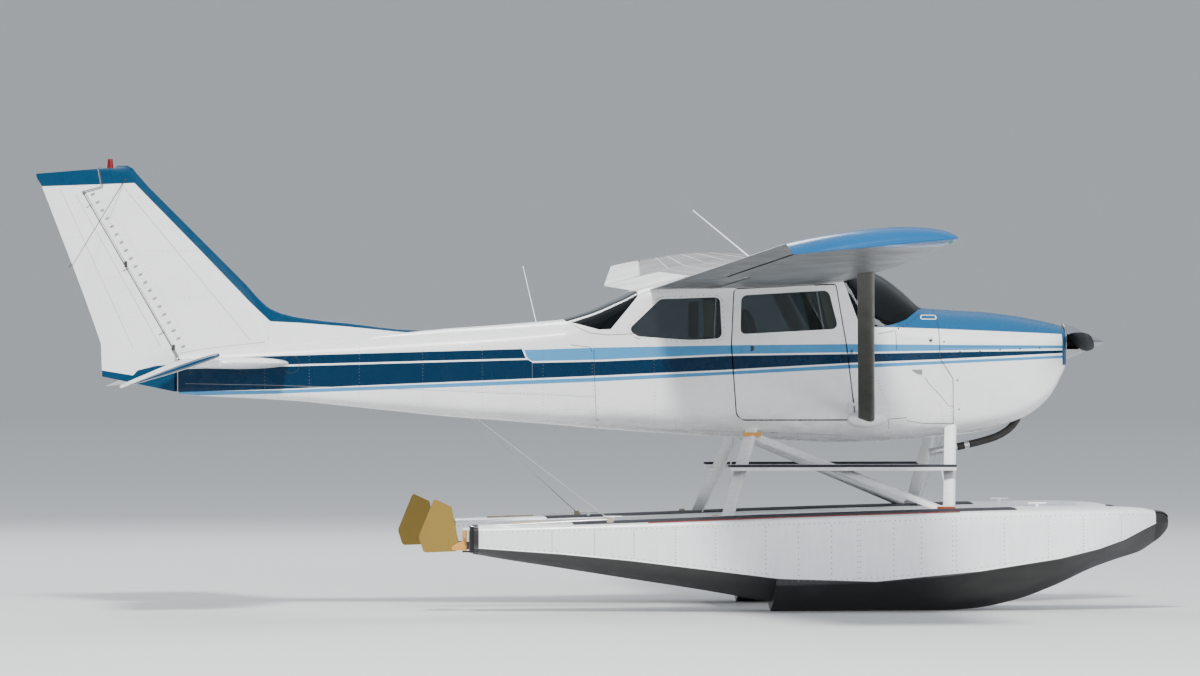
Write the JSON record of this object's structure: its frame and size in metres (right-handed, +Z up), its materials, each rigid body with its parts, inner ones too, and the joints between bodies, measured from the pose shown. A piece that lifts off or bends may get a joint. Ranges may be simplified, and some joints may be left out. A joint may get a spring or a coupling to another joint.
{
  "type": "light aircraft floatplane",
  "caption": "High-wing single-engine light aircraft on twin floats, with hinged doors, control surfaces, free propeller and lifting water rudders.",
  "frame": {"origin": "middle of the whole box's footprint, at the height of the float keels", "axes": "+X forward to the nose, +Y to the pilot's left, +Z up"},
  "size_m": [8.473, 10.92, 3.395],
  "materials": {
    "white_skin": "gloss",
    "blue_skin": "gloss",
    "bare_skin": "satin",
    "float_skin": "satin",
    "strut_metal": "satin",
    "black_rubber": "matte",
    "clear_glazing": "polished",
    "dark_panel": "matte",
    "seat_cloth": "matte",
    "engine_metal": "matte",
    "exhaust_steel": "matte",
    "blade_metal": "matte",
    "spinner_metal": "polished",
    "khaki_paint": "satin",
    "orange_paint": "satin",
    "beacon_lens": "gloss",
    "antenna_white": "gloss"
  },
  "bodies": {
    "airframe": {"cabin_shell": "white_skin", "tailcone": "white_skin", "cowl_upper": "blue_skin", "cowl_lower": "white_skin", "engine_block": "engine_metal", "exhaust_pipe": "exhaust_steel", "windshield": "clear_glazing", "rear_window": "clear_glazing", "side_window_right": "clear_glazing", "side_window_left": "clear_glazing", "instrument_panel": "dark_panel", "front_seat_right": "seat_cloth", "front_seat_left": "seat_cloth", "rear_bench": "seat_cloth", "wing_right": "bare_skin", "wing_left": "bare_skin", "wing_tip_right": "blue_skin", "wing_tip_left": "blue_skin", "wing_strut_right": "strut_metal", "wing_strut_left": "strut_metal", "fin": "white_skin", "stabilizer_right": "white_skin", "stabilizer_left": "white_skin", "beacon": "beacon_lens", "whip_antenna": "antenna_white", "float_right": "float_skin", "float_left": "float_skin", "bow_bumper_right": "black_rubber", "bow_bumper_left": "black_rubber", "float_strut_front_right": "strut_metal", "float_strut_front_left": "strut_metal", "float_strut_rear_right": "strut_metal", "float_strut_rear_left": "strut_metal", "float_diagonal_right": "strut_metal", "float_diagonal_left": "strut_metal", "spreader_front": "strut_metal", "spreader_rear": "strut_metal", "step_plank_right": "bare_skin", "step_plank_left": "bare_skin", "brace_wires_front": "strut_metal", "brace_wires_rear": "strut_metal"},
    "propeller": {"propeller": "blade_metal", "spinner": "spinner_metal"},
    "elevator": {"elevator_right": "white_skin", "elevator_left": "white_skin"},
    "rudder": {"rudder": "white_skin"},
    "door_right": {"door_right": "white_skin", "door_window_right": "clear_glazing"},
    "aileron_right": {"aileron_right": "white_skin"},
    "flap_right": {"flap_right": "white_skin"},
    "water_yoke_right": {"water_rudder_yoke_right": "orange_paint"},
    "water_blade_right": {"water_rudder_right": "khaki_paint"},
    "door_left": {"door_left": "white_skin", "door_window_left": "clear_glazing"},
    "aileron_left": {"aileron_left": "white_skin"},
    "flap_left": {"flap_left": "white_skin"},
    "water_yoke_left": {"water_rudder_yoke_left": "orange_paint"},
    "water_blade_left": {"water_rudder_left": "khaki_paint"}
  },
  "joints": [
    {"name": "propeller_spin", "type": "hinge", "parent": "airframe", "child": "propeller", "pos_m": [3.6633, 0, 2.018], "axis": [1, 0, 0], "continuous": true},
    {"name": "rudder_swing", "type": "hinge", "parent": "airframe", "child": "rudder", "pos_m": [-3.1875, 0, 1.899], "axis": [-0.4938, 0, 0.8696], "range_deg": [-17, 17]},
    {"name": "elevator_swing", "type": "hinge", "parent": "airframe", "child": "elevator", "pos_m": [-3.1345, 0, 1.855], "axis": [0, 1, 0], "range_deg": [-4, 47]},
    {"name": "aileron_right_swing", "type": "hinge", "parent": "airframe", "child": "aileron_right", "pos_m": [0.6451, -2.62, 2.5133], "axis": [-0.1143, 0.9912, -0.0674], "range_deg": [-15, 20]},
    {"name": "aileron_left_swing", "type": "hinge", "parent": "airframe", "child": "aileron_left", "pos_m": [0.6451, 2.62, 2.5133], "axis": [0.1143, 0.9912, 0.0674], "range_deg": [-20, 15]},
    {"name": "flap_right_swing", "type": "hinge", "parent": "airframe", "child": "flap_right", "pos_m": [0.813, -0.61, 2.464], "axis": [0, -0.9995, 0.0303], "range_deg": [0, 40]},
    {"name": "flap_left_swing", "type": "hinge", "parent": "airframe", "child": "flap_left", "pos_m": [0.813, 0.61, 2.464], "axis": [0, -0.9995, -0.0303], "range_deg": [0, 40]},
    {"name": "door_right_swing", "type": "hinge", "parent": "airframe", "child": "door_right", "pos_m": [1.9205, -0.546, 1.56], "axis": [-0.0351, 0, 0.9994], "range_deg": [0, 70]},
    {"name": "door_left_swing", "type": "hinge", "parent": "airframe", "child": "door_left", "pos_m": [1.9205, 0.546, 1.56], "axis": [0.0351, 0, -0.9994], "range_deg": [0, 70]},
    {"name": "water_rudder_right_steer", "type": "hinge", "parent": "airframe", "child": "water_yoke_right", "pos_m": [-1.0825, -0.96, 0.535], "axis": [0, 0, 1], "range_deg": [-22.5, 22.5]},
    {"name": "water_rudder_right_lift", "type": "hinge", "parent": "water_yoke_right", "child": "water_blade_right", "pos_m": [-1.1565, -0.96, 0.476], "axis": [0, 1, 0], "range_deg": [-90, 0]},
    {"name": "water_rudder_left_steer", "type": "hinge", "parent": "airframe", "child": "water_yoke_left", "pos_m": [-1.0825, 0.96, 0.535], "axis": [0, 0, 1], "range_deg": [-22.5, 22.5]},
    {"name": "water_rudder_left_lift", "type": "hinge", "parent": "water_yoke_left", "child": "water_blade_left", "pos_m": [-1.1565, 0.96, 0.476], "axis": [0, 1, 0], "range_deg": [-90, 0]}
  ],
  "couplings": [
    {"joint": "aileron_left_swing", "follows": "aileron_right_swing", "ratio": -1},
    {"joint": "flap_left_swing", "follows": "flap_right_swing", "ratio": 1},
    {"joint": "water_rudder_right_steer", "follows": "rudder_swing", "ratio": 1.3},
    {"joint": "water_rudder_left_steer", "follows": "rudder_swing", "ratio": 1.3},
    {"joint": "water_rudder_left_lift", "follows": "water_rudder_right_lift", "ratio": 1}
  ]
}
